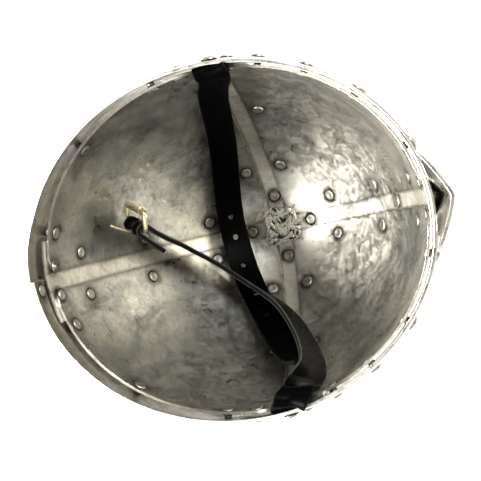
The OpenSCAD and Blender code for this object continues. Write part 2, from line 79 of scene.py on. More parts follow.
SPANGEN_T = 1.6
PLATE_T = 1.5
BAND_T = 2.0
SHEET_GAP = 0.2
SIDE_BULGE = 6.0
BULGE_FROM = 48.0
CROWN_FLAT, CROWN_SOFT, CROWN_LIFT = 2.0, 1.5, 0.4
SEAM_HALF, APEX_CORNER_R, BROW_CORNER_R = 5.5, 20.0, 9.0
SPANGEN_HALF, SPANGEN_FLARE = 20.0, 5.0
PLATE_DROP, SIDE_SWEEP = 16.0, 9.0
STRAP_W, STRAP_T = 18.0, 3.0
STRAP_Y = -13.0
LAP_START, LAP_END, LAP_RAMP, LAP_FULL = 88.4, 455.5, 422.0, 444.0

BAND_IN = SPANGEN_T + 2 * SHEET_GAP
BAND_OUT = BAND_IN + BAND_T
CAP_IN = SPANGEN_T + SHEET_GAP
CAP_OUT = CAP_IN + 1.6
PLATE_OUT = -SHEET_GAP
PLATE_IN = PLATE_OUT - PLATE_T
LAP_LIFT = BAND_T + SHEET_GAP

RIM = node_box("brow_band")[1][2]
BAND_H = RIM - node_box("brow_band")[0][2]
HALF_Y = -node_box("brow_band")[0][1] - BAND_OUT

# The master surface, where the plates and the spangens meet: see part.scad for the same rules.
CROWN_RISE = (math.hypot(CROWN_FLAT, CROWN_SOFT) - CROWN_FLAT) / 2
APEX_Z = CROWN_LIFT + CAP_OUT - CROWN_RISE - CROWN_FLAT
DEPTH = RIM - APEX_Z
OPENING_HALF = 99.0
HALF_X = OPENING_HALF - BAND_OUT + SIDE_BULGE


def smooth(t):
    t = np.clip(t, 0, 1)
    return t * t * (3 - 2 * t)


def shaped(p):
    """The crown pressed nearly flat and the sides drawn in towards the rim."""
    d = p[..., 2] - APEX_Z - CROWN_FLAT
    w = np.clip((p[..., 2] - (RIM - BULGE_FROM)) / BULGE_FROM, 0, 1)
    x = p[..., 0] * (1 - SIDE_BULGE / HALF_X * w * w)
    z = APEX_Z + CROWN_FLAT + (d + np.sqrt(d * d + CROWN_SOFT**2)) / 2
    return np.stack([x, p[..., 1], z], -1)


def normal_at(p):
    """The master surface's outward direction."""
    d = p[..., 2] - APEX_Z - CROWN_FLAT
    slope = (1 + d / np.sqrt(d * d + CROWN_SOFT**2)) / 2
    n = np.stack([slope * p[..., 0] / HALF_X**2, slope * p[..., 1] / HALF_Y**2,
                  (p[..., 2] - RIM) / DEPTH**2], -1)
    return n / np.linalg.norm(n, axis=-1, keepdims=True)


WAVES = np.random.default_rng(11).normal(size=(14, 3))
DENT = 0.16
WAVE_PHASE = np.random.default_rng(12).uniform(0, 2 * np.pi, 14)


def hammered(p):
    """Shallow dents of hand raising. All sheets share them, so the gaps between sheets stay."""
    total = 0
    for k, wave in enumerate(WAVES):
        along = p @ (wave / np.linalg.norm(wave))
        total = total + np.sin(along * (0.11 + 0.025 * k) + WAVE_PHASE[k]) / (2 + k)
    fade = np.clip((p[..., 2] - 12) / 30, 0, 1) * np.clip((RIM - 6 - p[..., 2]) / 20, 0, 1)
    return DENT * total * fade


def lay(p, off):
    """Moves points of the master surface out by this much."""
    n = normal_at(p)
    return shaped(p) + (off + hammered(p))[..., None] * n


def ring_point(around, up):
    """A point by its angle round the rim and its angle down from the rim."""
    a, u = np.radians(around), np.radians(up)
    return np.stack([HALF_X * np.cos(u) * np.cos(a), HALF_Y * np.cos(u) * np.sin(a),
                     RIM - DEPTH * np.sin(u)], -1)


def angle_at(z):
    return np.degrees(np.arcsin((RIM - z) / DEPTH))


def long_point(x, up, sign):
    """A point on the front or back strip, x off its middle."""
    k, u = np.sqrt(1 - (x / HALF_X) ** 2), np.radians(up)
    return np.stack([x + 0 * u, sign * HALF_Y * k * np.cos(u), RIM - DEPTH * k * np.sin(u)], -1)


def side_middle(up):
    return 1 - SIDE_SWEEP * np.cos(np.radians(up)) ** 4


def side_point(y, up, sign):
    """A point on the left or right strip, y off its middle."""
    k, u = np.sqrt(1 - (y / HALF_Y) ** 2), np.radians(up)
    return np.stack([sign * HALF_X * k * np.cos(u), y + 0 * u, RIM - DEPTH * k * np.sin(u)], -1)


# ---------------------------------------------------------------- meshes


def make_object(name, verts, faces, materials, face_material=None, smooth_shade=True):
    mesh = bpy.data.meshes.new(name)
    points = [tuple(v) for v in np.asarray(verts, float) * MM]
    mesh.from_pydata(points, [], [tuple(int(i) for i in f) for f in faces])
    for m in materials:
        mesh.materials.append(m)
    if face_material is not None:
        mesh.polygons.foreach_set("material_index", np.asarray(face_material, np.int32))
    bm = bmesh.new()
    bm.from_mesh(mesh)
    bmesh.ops.recalc_face_normals(bm, faces=bm.faces)
    bm.to_mesh(mesh)
    bm.free()
    mesh.polygons.foreach_set("use_smooth", [smooth_shade] * len(mesh.polygons))
    obj = bpy.data.objects.new(name, mesh)
    bpy.context.scene.collection.objects.link(obj)
    return obj


def soften(obj, width, segments=2, angle=35):
    """Rounds the sharp edges of a piece by this width, in millimetres."""
    bevel = obj.modifiers.new("edge", "BEVEL")
    bevel.width = width * MM
    bevel.segments = segments
    bevel.limit_method = "ANGLE"
    bevel.angle_limit = math.radians(angle)
    bevel.harden_normals = True
    return obj


def sheet(name, outer, inner, materials, edge=0.35):
    """A closed sheet between two grids of points: cut edges take the second material, the outside a third."""
    rows, cols = outer.shape[:2]
    count = rows * cols
    at = np.arange(count).reshape(rows, cols)
    quads = np.stack([at[:-1, :-1], at[:-1, 1:], at[1:, 1:], at[1:, :-1]], -1).reshape(-1, 4)
    border = np.concatenate([at[0, :-1], at[:-1, -1], at[-1, :0:-1], at[:0:-1, 0]])
    ahead = np.roll(border, -1)
    rim = np.stack([border, ahead, ahead + count, border + count], -1)
    faces = np.concatenate([quads, quads[:, ::-1] + count, rim])
    index = np.zeros(len(faces), int)
    index[2 * len(quads):] = 1
    index[:len(quads)] = len(materials) - 1 if len(materials) > 2 else 0
    verts = np.concatenate([outer.reshape(-1, 3), inner.reshape(-1, 3)])
    return soften(make_object(name, verts, faces, materials, index), edge)


def settle(obj, body, slot, *nodes):
    """Puts a piece on its body and lets it stand for its CAD nodes; its material slot is not used."""
    if "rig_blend" not in obj:
        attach(obj, body)
    if nodes:
        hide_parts(*nodes)
    return obj


# ---------------------------------------------------------------- material helpers


def new_material(name):
    m = bpy.data.materials.new(name)
    m.use_nodes = True
    return m, m.node_tree.nodes, m.node_tree.links, m.node_tree.nodes["Principled BSDF"]


def coords(nodes, links, stretch=(1, 1, 1)):
    tex = nodes.new("ShaderNodeTexCoord")
    mapping = nodes.new("ShaderNodeMapping")
    mapping.inputs["Scale"].default_value = stretch
    links.new(tex.outputs["Object"], mapping.inputs["Vector"])
    return mapping.outputs["Vector"]


def noise_node(nodes, links, vector, scale, detail=4, rough=0.55, distortion=0.0):
    n = nodes.new("ShaderNodeTexNoise")
    n.inputs["Scale"].default_value = scale
    n.inputs["Detail"].default_value = detail
    n.inputs["Roughness"].default_value = rough
    n.inputs["Distortion"].default_value = distortion
    links.new(vector, n.inputs["Vector"])
    return n.outputs["Fac"]


def ramp(nodes, links, value, stops):
    r = nodes.new("ShaderNodeValToRGB")
    links.new(value, r.inputs["Fac"])
    first, last = r.color_ramp.elements[0], r.color_ramp.elements[1]
    first.position, last.position = stops[0][0], stops[-1][0]
    first.color, last.color = (*stops[0][1], 1), (*stops[-1][1], 1)
    for place, colour in stops[1:-1]:
        e = r.color_ramp.elements.new(place)
        e.color = (*colour, 1)
    return r.outputs["Color"]


def mix(nodes, links, a, b, factor, kind="MIX"):
    m = nodes.new("ShaderNodeMix")
    m.data_type = "RGBA"
    m.blend_type = kind
    for socket, value in ((m.inputs[0], factor), (m.inputs[6], a), (m.inputs[7], b)):
        if isinstance(value, (int, float)):
            socket.default_value = value
        elif isinstance(value, tuple):
            socket.default_value = (*value, 1)
        else:
            links.new(value, socket)
    return m.outputs[2]


def grey(v):
    return (v, v, v)


def times(nodes, links, a, b):
    m = nodes.new("ShaderNodeMath")
    m.operation = "MULTIPLY"
    links.new(a, m.inputs[0])
    links.new(b, m.inputs[1])
    return m.outputs[0]


def spread(nodes, links, value, low, high, to_low, to_high):
    r = nodes.new("ShaderNodeMapRange")
    r.inputs["From Min"].default_value = low
    r.inputs["From Max"].default_value = high
    r.inputs["To Min"].default_value = to_low
    r.inputs["To Max"].default_value = to_high
    links.new(value, r.inputs["Value"])
    return r.outputs["Result"]


def bump(nodes, links, shader, heights):
    """Chains bump nodes: heights is a list of (value, strength, distance in millimetres)."""
    last = None
    for value, strength, distance in heights:
        b = nodes.new("ShaderNodeBump")
        b.inputs["Strength"].default_value = strength
        b.inputs["Distance"].default_value = distance * MM
        links.new(value, b.inputs["Height"])
        if last is not None:
            links.new(last, b.inputs["Normal"])
        last = b.outputs["Normal"]
    links.new(last, shader.inputs["Normal"])


# ---------------------------------------------------------------- materials


# Colour of the painted highlight in front of the crown.
PAINTED_HIGHLIGHT_COLOUR = (1.0, 0.98, 0.91)
# Colour of the dirt and painted shade round rivets and along seam edges.
DIRT_AND_SHADE_BROWN = (0.075, 0.065, 0.05)


def attribute(nodes, name):
    found = nodes.new("ShaderNodeAttribute")
    found.attribute_name = name
    return found.outputs["Fac"]


def steel(name, cool, warm, rough=(0.24, 0.46), cloud=26, swirl=1.6, shift=0.0, pits=0.35, tarnish=1.0):
    """Hand-polished steel: cloudy tarnish in cool and warm greys, brushed scratches and small pits."""
    m, nodes, links, shader = new_material(name)
    at = coords(nodes, links)
    shader.inputs["Metallic"].default_value = 1.0
    clouds = noise_node(nodes, links, at, cloud, 5, 0.6, swirl)
    stains = noise_node(nodes, links, at, cloud * 0.8, 8, 0.72, 0.9)
    mottle = noise_node(nodes, links, at, cloud * 5.5, 6, 0.62, swirl * 0.7)
    speck = noise_node(nodes, links, at, 900, 3, 0.5)
    middle = tuple((a + b) / 2 for a, b in zip(cool, warm))
    base = ramp(nodes, links, clouds, [(0.3 + shift, cool), (0.52 + shift, middle), (0.72 + shift, warm)])
    dark = ramp(nodes, links, mottle, [(0.3, grey(0.6)), (0.5, grey(0.95)), (0.68, grey(1.15))])
    base = mix(nodes, links, base, dark, 1.0, "MULTIPLY")
    patches = ramp(nodes, links, stains, [(0.38, (0.34, 0.34, 0.335)), (0.5, (0.8, 0.79, 0.76)),
                                          (0.6, (1.0, 0.98, 0.93))])
    base = mix(nodes, links, base, patches, tarnish, "MULTIPLY")
    spots = ramp(nodes, links, speck, [(0.2, grey(0.6)), (0.36, grey(1.0))])
    base = mix(nodes, links, base, spots, pits, "MULTIPLY")
    # Painted highlight: where the painted-highlight mask is high the steel turns near-white, and everywhere
    # else the steel is dimmed to 0.78 of its colour.
    highlight_mask = times(nodes, links, attribute(nodes, "painted_highlight"), spread(nodes, links, clouds, 0.3, 0.6, 0.75, 1.0))
    base = mix(nodes, links, base, PAINTED_HIGHLIGHT_COLOUR, highlight_mask)
    dim_off_highlight = ramp(nodes, links, highlight_mask, [(0.0, grey(0.78)), (0.5, grey(1.0))])
    base = mix(nodes, links, base, dim_off_highlight, 1.0, "MULTIPLY")
    # Dirt and painted shade: this mask turns the steel brown-black round rivets and along seam edges.
    dirt_and_shade_amount = times(nodes, links, attribute(nodes, "dirt_and_shade"), spread(nodes, links, mottle, 0.3, 0.62, 0.55, 1.0))
    links.new(mix(nodes, links, base, DIRT_AND_SHADE_BROWN, dirt_and_shade_amount), shader.inputs["Base Color"])
    polish = times(nodes, links, spread(nodes, links, mottle, 0.32, 0.68, rough[1], rough[0]),
                   spread(nodes, links, stains, 0.38, 0.6, 1.25, 0.85))
    links.new(polish, shader.inputs["Roughness"])
    scratch = noise_node(nodes, links, coords(nodes, links, (1, 0.06, 1)), 1500, 3, 0.6, 0.2)
    bump(nodes, links, shader, [(mottle, 0.18, 0.35), (scratch, 0.10, 0.06), (speck, 0.12, 0.05)])
    return m


def bright_edge():
    """A sheared and filed steel edge, polished by handling; its lighter colour is partly a painted highlight
    along the edges.
    """
    m, nodes, links, shader = new_material("edge_bright")
    at = coords(nodes, links)
    wear = noise_node(nodes, links, at, 160, 4)
    shader.inputs["Metallic"].default_value = 1.0
    tone = ramp(nodes, links, wear, [(0.3, (0.4, 0.39, 0.36)), (0.6, (0.78, 0.77, 0.74))])
    links.new(tone, shader.inputs["Base Color"])
    links.new(spread(nodes, links, wear, 0.3, 0.7, 0.4, 0.2), shader.inputs["Roughness"])
    bump(nodes, links, shader, [(noise_node(nodes, links, at, 700), 0.25, 0.08)])
    return m


def rivet_metal(name, base, rough):
    """A hammered rivet, with small flats, its colour darker in its hollows."""
    m, nodes, links, shader = new_material(name)
    at = coords(nodes, links)
    beat = noise_node(nodes, links, at, 330, 2, 0.5)
    shader.inputs["Metallic"].default_value = 1.0
    low = tuple(c * 0.55 for c in base)
    links.new(ramp(nodes, links, beat, [(0.32, low), (0.6, base)]), shader.inputs["Base Color"])
    links.new(spread(nodes, links, beat, 0.3, 0.7, rough + 0.16, rough), shader.inputs["Roughness"])
    bump(nodes, links, shader, [(beat, 0.45, 0.4), (noise_node(nodes, links, at, 1400), 0.15, 0.06)])
    return m


def dirt_and_shade():
    """A near-black ring round a set rivet head: partly oxide and old polish, partly painted shade in the gap
    round the head.
    """
    m, nodes, links, shader = new_material("rivet_ring_dirt_and_shade")
    at = coords(nodes, links)
    crumbs = noise_node(nodes, links, at, 800, 4)
    shader.inputs["Metallic"].default_value = 0.25
    shader.inputs["Specular IOR Level"].default_value = 0.12
    tone = ramp(nodes, links, crumbs, [(0.3, (0.006, 0.0055, 0.005)), (0.7, (0.05, 0.046, 0.04))])
    links.new(tone, shader.inputs["Base Color"])
    links.new(spread(nodes, links, crumbs, 0.3, 0.7, 0.75, 0.5), shader.inputs["Roughness"])
    bump(nodes, links, shader, [(crumbs, 0.4, 0.15)])
    return m


def weld_metal():
    """The ground and hammered weld: bright ridges over dark hollows."""
    m, nodes, links, shader = new_material("weld_metal")
    at = coords(nodes, links)
    shader.inputs["Metallic"].default_value = 1.0
    lumps = noise_node(nodes, links, at, 120, 3, 0.6, 2.4)
    tone = ramp(nodes, links, lumps, [(0.42, (0.04, 0.036, 0.03)), (0.47, (0.8, 0.78, 0.7)),
                                      (0.53, (1.0, 0.98, 0.9))])
    links.new(tone, shader.inputs["Base Color"])
    links.new(spread(nodes, links, lumps, 0.35, 0.65, 0.5, 0.2), shader.inputs["Roughness"])
    bump(nodes, links, shader, [(lumps, 0.9, 1.2)])
    return m


def leather(name, base, sheen, rough):
    """Vegetable-tanned strap leather: fine pebbled grain, creases and a waxed gloss."""
    m, nodes, links, shader = new_material(name)
    at = coords(nodes, links)
    cells = nodes.new("ShaderNodeTexVoronoi")
    cells.inputs["Scale"].default_value = 1300
    links.new(at, cells.inputs["Vector"])
    creases = noise_node(nodes, links, coords(nodes, links, (1, 1, 0.35)), 210, 5, 0.65, 0.8)
    tone = noise_node(nodes, links, at, 55, 4)
    low = tuple(c * 0.6 for c in base)
    links.new(ramp(nodes, links, tone, [(0.3, low), (0.7, base)]), shader.inputs["Base Color"])
    links.new(spread(nodes, links, creases, 0.3, 0.7, rough - 0.07, rough + 0.14), shader.inputs["Roughness"])
    shader.inputs["Specular IOR Level"].default_value = 0.018
    shader.inputs["Coat Weight"].default_value = sheen
    shader.inputs["Coat Roughness"].default_value = 0.3
    bump(nodes, links, shader, [(cells.outputs["Distance"], 0.22, 0.12), (creases, 0.2, 0.3)])
    return m


def buckle_steel(name, base, rough):
    """Plated wire, with the warm tone of worn nickel."""
    m, nodes, links, shader = new_material(name)
    at = coords(nodes, links)
    worn = noise_node(nodes, links, at, 190, 4, 0.6, 0.6)
    shader.inputs["Metallic"].default_value = 1.0
    low = tuple(c * 0.55 for c in base)
    links.new(ramp(nodes, links, worn, [(0.3, low), (0.62, base)]), shader.inputs["Base Color"])
    links.new(spread(nodes, links, worn, 0.3, 0.7, rough + 0.15, rough), shader.inputs["Roughness"])
    bump(nodes, links, shader, [(noise_node(nodes, links, at, 900), 0.12, 0.08)])
    return m


PLATE = steel("plate_steel", (0.42, 0.43, 0.43), (0.96, 0.94, 0.88), (0.27, 0.52))
# The outside copies of the plate and spangen steel are darker: partly a guessed finish, partly painted shade
# that keeps the lit outside faces from blowing out.
PLATE_SKIN = steel("plate_outside", (0.30, 0.30, 0.30), (0.58, 0.57, 0.53), (0.27, 0.48))
SPANGEN = steel("spangen_steel", (0.78, 0.76, 0.70), (1.0, 0.97, 0.88), (0.34, 0.5), 34, 1.2, -0.05, 0.2, 0.25)
SPANGEN_SKIN = steel("spangen_outside", (0.34, 0.33, 0.30), (0.56, 0.54, 0.49), (0.3, 0.48),
                     34, 1.2, 0.0, 0.3, 0.6)
BAND = steel("band_steel", (0.38, 0.36, 0.31), (0.66, 0.60, 0.48), (0.28, 0.44), 22, 0.8, 0.0, 0.25, 0.5)
NASAL = steel("nasal_steel", (0.50, 0.49, 0.46), (0.78, 0.76, 0.70), (0.22, 0.40), 40, 1.0)
CAP = steel("cap_steel", (0.42, 0.42, 0.41), (0.68, 0.66, 0.62), (0.25, 0.42), 40, 1.0)
EDGE = bright_edge()
RIVET = rivet_metal("rivet_steel", (0.5, 0.49, 0.46), 0.26)
RIVET_SET = rivet_metal("rivet_set", (0.34, 0.33, 0.30), 0.36)
RING_DIRT_AND_SHADE = dirt_and_shade()
WELD = weld_metal()
BLACK = leather("strap_leather", (0.0003, 0.0003, 0.0005), 0.0012, 0.34)
CUT = leather("strap_cut_edge", (0.006, 0.006, 0.0056), 0.0, 0.6)
CORNER = leather("strap_light_corner", (0.05, 0.05, 0.044), 0.02, 0.45)
SOFT_CORNER = leather("strap_soft_corner", (0.0012, 0.0012, 0.0012), 0.0015, 0.38)
BUCKLE = buckle_steel("buckle_metal", (0.70, 0.60, 0.42), 0.2)
PRONG = buckle_steel("prong_metal", (0.66, 0.57, 0.42), 0.24)
ROLLER = buckle_steel("roller_metal", (0.68, 0.59, 0.43), 0.22)

# ---------------------------------------------------------------- shell

PLAIN_RIVETS = ("crown_rivets", "brow_rivets", "nasal_rivets", "back_spangen_rivets", "side_spangen_rivets")
RIVET_NODES = (*PLAIN_RIVETS, "apex_rivets", "lap_rivet", "billet_rivet", "buckle_rivet")


def solids_of(node):
    """The vertices of each separate rivet in a CAD node, in millimetres."""
    left = np.array([v.co for v in frame["nodes"][node].data.vertices]) / MM
    found = []
    while len(left):
        group = left[:1]
        while True:
            near = np.linalg.norm(left - group.mean(0), axis=1) < 8.5
            if near.sum() == len(group):
                break
            group = left[near]
        found.append(group)
        left = left[~near]
    return found


RIVET_SPOTS = np.array([(g.min(0) + g.max(0)) / 2 for node in RIVET_NODES for g in solids_of(node)])


# A painted highlight: a zone of 54 mm radius in front of the crown where the steel colour is made brighter.
PAINTED_HIGHLIGHT_AT, PAINTED_HIGHLIGHT_R = (0.0, -50.0, 26.0), 54.0


def paint_dirt_shade_and_highlight(obj, edge=None):
    """Stores where the colour is darkened, round rivets (dirt and painted shade) and along edges (painted
    shade), and where a painted highlight brightens it.
    """
    co = np.array([v.co for v in obj.data.vertices]) / MM
    away = np.linalg.norm(co[:, None] - RIVET_SPOTS[None], axis=2).min(1)
    # A dark ring round each rivet and a broad darkening near it: partly dirt, partly painted shade.
    shade_and_dirt = np.exp(-((away - 4.7) / 1.9) ** 2) + 0.4 * np.exp(-(away / 12) ** 2)
    # Darkening along the sheet's edges: painted shade.
    if edge is not None:
        shade_and_dirt = np.maximum(shade_and_dirt, edge)
    # The painted highlight zone, full at its middle and fading out past its radius.
    painted_highlight = np.exp(-(np.linalg.norm(co - np.array(PAINTED_HIGHLIGHT_AT), axis=1) / PAINTED_HIGHLIGHT_R) ** 4)
    for name, value in (("dirt_and_shade", shade_and_dirt), ("painted_highlight", painted_highlight)):
        layer = obj.data.attributes.new(name, "FLOAT", "POINT")
        layer.data.foreach_set("value", np.clip(value, 0, 1).astype(np.float32))
    return obj


def corner_in(along, r):
    along = np.maximum(along, 0)
    return np.where(along >= r, 0, r - np.sqrt(np.maximum(r * r - (r - along) ** 2, 0)))


PLATE_FOOT = angle_at(RIM - PLATE_DROP)
PLATE_TOP = 80.2


def edge_gap(from_apex, up):
    return (SEAM_HALF + corner_in(from_apex - SEAM_HALF, APEX_CORNER_R)
            + corner_in((up - PLATE_FOOT) * DEPTH * math.pi / 180, BROW_CORNER_R))


def plate(name, sx, sy, rows=84, cols=64):
    """One dome plate between a long seam and a side seam."""
    up = PLATE_FOOT + (PLATE_TOP - PLATE_FOOT) * np.linspace(0, 1, rows)
    cos_up = np.cos(np.radians(up))
    side, long = np.full(rows, 10.0), np.full(rows, 80.0)
    for _ in range(10):
        gap = edge_gap(HALF_X * cos_up * np.cos(np.radians(side)), up) + sy * side_middle(up)
        side = np.degrees(np.arcsin(np.clip(gap / (HALF_Y * cos_up), -0.9, 0.98)))
        gap = edge_gap(HALF_Y * cos_up * np.sin(np.radians(long)), up)
        long = np.degrees(np.arccos(np.clip(gap / (HALF_X * cos_up), 0, 1)))
    middle = (side + long) / 2
    side, long = np.minimum(side, middle - 0.6), np.maximum(long, middle + 0.6)
    turn = side[:, None] + (long - side)[:, None] * np.linspace(0, 1, cols)
    p = ring_point(turn, up[:, None] + 0 * turn) * np.array([sx, sy, 1])
    inner, outer = lay(p, PLATE_IN + 0 * turn), lay(p, PLATE_OUT + 0 * turn)
    piece = sheet(name + "_sheet", outer, inner, [PLATE, EDGE, PLATE_SKIN], 0.4)
    width = HALF_Y * cos_up * np.radians(long - side)
    share = np.linspace(0, 1, cols)
    from_side = np.minimum(share, 1 - share) * width[:, None]
    # Painted shade along the plate's seam edges.
    shade_and_dirt = 0.75 * np.exp(-from_side / 2.2).ravel()
    settle(paint_dirt_shade_and_highlight(piece, np.concatenate([shade_and_dirt, shade_and_dirt])), "shell", "plate_steel", name)


def spangen_width(t):
    return SPANGEN_HALF + SPANGEN_FLARE * np.clip(1 - t * 3.2, 0, 1) ** 2


SPANGEN_FOOT = angle_at(RIM - PLATE_DROP + 3)
MITRE_GAP = 0.3


def spangen_long(name, sign, rows=90, cols=42):
    """The front or back strip, mitred against the side strips at the crown."""
    t = np.linspace(0, 1, rows)[:, None] + np.zeros(cols)
    x = spangen_width(t) * np.linspace(-1, 1, cols)
    end = np.degrees(np.arccos((abs(x) + MITRE_GAP) / (HALF_Y * np.sqrt(1 - (x / HALF_X) ** 2))))
    p = long_point(x, SPANGEN_FOOT + (end - SPANGEN_FOOT) * t, sign)
    piece = sheet(name + "_sheet", lay(p, SPANGEN_T + 0 * x), lay(p, 0 * x), [SPANGEN, EDGE, SPANGEN_SKIN])
    # Painted shade along the lines where the plates' edges meet this strip.
    shade_and_dirt = np.exp(-((abs(x) - SEAM_HALF) / 1.4) ** 2).ravel()
    settle(paint_dirt_shade_and_highlight(piece, np.concatenate([shade_and_dirt, shade_and_dirt])), "shell", "spangen_steel", name)


def spangen_side(name, sign, rows=90, cols=42):
    t = np.linspace(0, 1, rows)[:, None] + np.zeros(cols)
    across = np.linspace(-1, 1, cols) + 0 * t
    end_y = SPANGEN_HALF * across
    end = np.degrees(np.arccos((abs(end_y) + MITRE_GAP) / (HALF_X * np.sqrt(1 - (end_y / HALF_Y) ** 2))))
    up = SPANGEN_FOOT + (end - SPANGEN_FOOT) * t
    p = side_point(spangen_width(t) * across + side_middle(up) * (1 - t**8), up, sign)
    piece = sheet(name + "_sheet", lay(p, SPANGEN_T + 0 * t), lay(p, 0 * t), [SPANGEN, EDGE, SPANGEN_SKIN])
    # Painted shade along the lines where the plates' edges meet this strip.
    shade_and_dirt = np.exp(-((abs(spangen_width(t) * across) - SEAM_HALF) / 1.4) ** 2).ravel()
    settle(paint_dirt_shade_and_highlight(piece, np.concatenate([shade_and_dirt, shade_and_dirt])), "shell", "spangen_steel", name)


def band_shift(around):
    return LAP_LIFT * smooth((around - LAP_RAMP) / (LAP_FULL - LAP_RAMP))


def brow_band(steps=360, rows=14):
    """The band, with its lapped end standing over the start of the strip at the back."""
    up = np.linspace(0, angle_at(RIM - (BAND_H - 1)), rows)[:, None] + np.zeros(steps)
    around = np.linspace(LAP_START, LAP_END, steps) + 0 * up
    p = ring_point(around, up)
    wavy = 0.12 * np.sin(np.radians(around * 9 + 40)) * np.sin(np.radians(around * 5))
    rise = wavy[..., None] * np.array([0, 0, 1.0])
    outer = lay(p, BAND_OUT + band_shift(around)) + rise
    inner = lay(p, BAND_IN + band_shift(around)) + rise
    piece = paint_dirt_shade_and_highlight(sheet("brow_band_sheet", outer, inner, [BAND, EDGE], 0.5))
    settle(piece, "shell", "band_steel", "brow_band")


def apex_disc(name, radius, out_off, in_off, materials, rings, steps):
    """A round sheet over the crown: the rows run from the middle out."""
    around = np.radians(np.linspace(0, 360, steps, endpoint=False)) + np.zeros((rings, 1))
    r = radius(np.degrees(around)) * (np.arange(1, rings + 1) / rings)[:, None]
    x, y = r * np.cos(around), r * np.sin(around)
    x, y = np.append(x.ravel(), 0), np.append(y.ravel(), 0)
    p = np.stack([x, y, RIM - DEPTH * np.sqrt(1 - (x / HALF_X) ** 2 - (y / HALF_Y) ** 2)], -1)
    outer, inner = lay(p, out_off(p)), lay(p, in_off(p))
    count, mid = len(p), rings * steps
    at = np.arange(mid).reshape(rings, steps)
    ahead = np.roll(at, -1, 1)
    quads = np.stack([at[:-1], ahead[:-1], ahead[1:], at[1:]], -1).reshape(-1, 4)
    fan = np.stack([np.full(steps, mid), ahead[0], at[0]], -1)
    rim = np.stack([at[-1], ahead[-1], ahead[-1] + count, at[-1] + count], -1)
    faces = [*quads, *(quads[:, ::-1] + count), *fan, *(fan[:, ::-1] + count), *rim]
    index = np.zeros(len(faces), int)
    index[-steps:] = len(materials) - 1
    return make_object(name, np.concatenate([outer, inner]), faces, materials, index)


def apex_cap():
    piece = apex_disc("apex_cap_disc", lambda a: 29 + 0 * a, lambda p: CAP_OUT + 0 * p[..., 0],
                      lambda p: CAP_IN + 0 * p[..., 0], [CAP, EDGE], 26, 120)
    settle(soften(piece, 0.4), "shell", "cap_steel", "apex_cap")


def lump(p):
    """Ridges and hollows of a hammered weld, in millimetres."""
    spots = [Vector((q[0] * 0.21, q[1] * 0.21, 3.7)) for q in p]
    heights = [noise.ridged_multi_fractal(spot, 0.9, 2.1, 4, 0.9, 2.0) for spot in spots]
    return np.array(heights) * 0.42


def apex_weld():
    def radius(a):
        turn = np.radians(a)
        square = (np.cos(turn) ** 4 + np.sin(turn) ** 4) ** -0.25
        return 12.6 * (1 + 0.05 * np.sin(np.radians(3 * a + 40)) + 0.04 * np.sin(np.radians(7 * a))) * square

    def inner(p):
        edge = np.clip(1 - (np.abs(p[..., :2]).max(-1) / 12.8) ** 6, 0.15, 1)
        return -0.4 - (0.6 + lump(p)) * edge

    piece = apex_disc("apex_weld_pad", radius, lambda p: -0.3 + 0 * p[..., 0], inner, [WELD], 60, 180)
    settle(piece, "shell", "weld", "apex_weld")


# ---------------------------------------------------------------- nasal

NASAL_T = 1.6
NASAL_HALF = (node_box("nasal")[1][0] - node_box("nasal")[0][0]) / 2
NASAL_FOOT, NASAL_TIP = node_box("nasal")[0][2], node_box("nasal")[1][2]
NASAL_RIDGE, NASAL_FORWARD, NASAL_LIP = 9.0, 3.0, 2.5
NASAL_WAIST = 0.235


def ridge_half(z):
    low = 3 + 6 * (z - NASAL_FOOT) / (RIM - NASAL_FOOT)
    return np.where(z < RIM, low, 9 + (NASAL_HALF - 9) * smooth((z - RIM) / 26))


def ridge_height(z):
    low = 0.4 + 6.1 * np.clip((z - NASAL_FOOT) / (RIM - NASAL_FOOT), 0, 1) ** 1.3
    return np.where(z < RIM, low, 6.5 + (NASAL_RIDGE - 6.5) * smooth((z - RIM) / 26))


def nasal(rows=110, cols=49):
    """The creased bar: flat on the band, then one full ridge to the free end."""
    z = np.concatenate([[NASAL_FOOT, NASAL_FOOT + 0.3, NASAL_FOOT + 0.9],
                        np.linspace(NASAL_FOOT + NASAL_LIP, NASAL_TIP - NASAL_LIP, rows),
                        [NASAL_TIP - 0.9, NASAL_TIP - 0.3, NASAL_TIP]])[:, None] + np.zeros(cols)
    width = (NASAL_HALF * (1 - NASAL_WAIST * smooth((NASAL_TIP - z) / (NASAL_TIP - RIM)))
             - corner_in(NASAL_TIP - z, NASAL_LIP) - corner_in(z - NASAL_FOOT, NASAL_LIP))
    x = width * np.linspace(-1, 1, cols)
    on_band = long_point(x, angle_at(np.minimum(z, RIM)), -1)
    front = (shaped(on_band) + (BAND_OUT + SHEET_GAP) * normal_at(on_band))[..., 1]
    crease = np.sqrt((x / ridge_half(z)) ** 2 + 0.004)
    y = (front - NASAL_FORWARD * np.clip((z - RIM) / (NASAL_TIP - RIM), 0, 1) ** 1.1
         - ridge_height(z) * np.clip(1 - crease, 0, 1))
    inner = np.stack([x, y, z], -1)
    thick = NASAL_T * (1 + 0.12 * np.clip((z - RIM) / 20, 0, 1))
    outer = inner - np.stack([0 * x, thick, 0 * x], -1)
    settle(paint_dirt_shade_and_highlight(sheet("nasal_bar", outer, inner, [NASAL, EDGE], 0.45)), "shell", "nasal_steel", "nasal")


# ---------------------------------------------------------------- rivets


SHANK_R, SET_R = 2.2, 3.5


